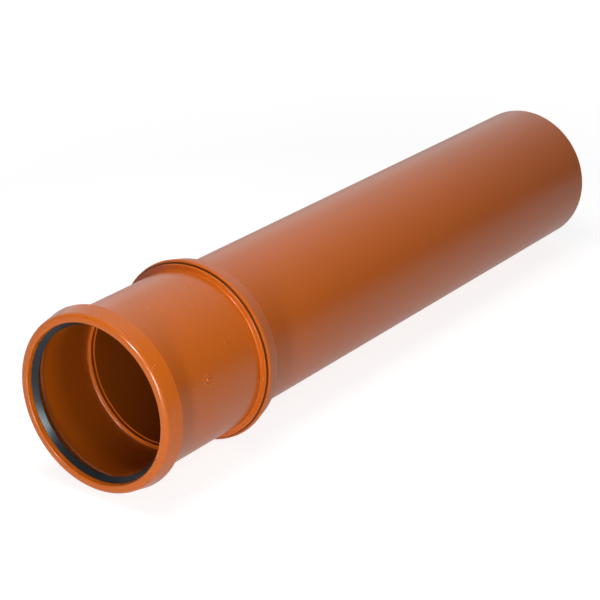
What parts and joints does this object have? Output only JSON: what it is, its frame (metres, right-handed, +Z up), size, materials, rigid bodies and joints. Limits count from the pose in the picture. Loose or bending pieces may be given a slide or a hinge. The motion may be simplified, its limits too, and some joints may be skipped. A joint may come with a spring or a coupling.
{
  "type": "plastic drain pipe",
  "caption": "Round plastic drain pipe with a push-fit socket at one end, a rubber seal inside its rim and a locking ring behind it; the other end is plain.",
  "frame": {"origin": "under the middle of the pipe's length, at the level of the floor that it lies on", "axes": "+X from the socket's mouth to the plain end, +Z up; the pipe's own axis slopes down 1.21 degrees toward +X, because it lies on its locking ring and on the lower edge of its plain end"},
  "size_m": [0.5622, 0.1292, 0.1303],
  "materials": {
    "pipe_plastic": "satin",
    "socket_plastic": "satin",
    "ring_plastic": "satin",
    "seal_rubber": "satin"
  },
  "bodies": {
    "root": {"pipe": "pipe_plastic", "socket": "socket_plastic", "locking_ring": "ring_plastic", "sealing_ring": "seal_rubber"}
  },
  "joints": []
}
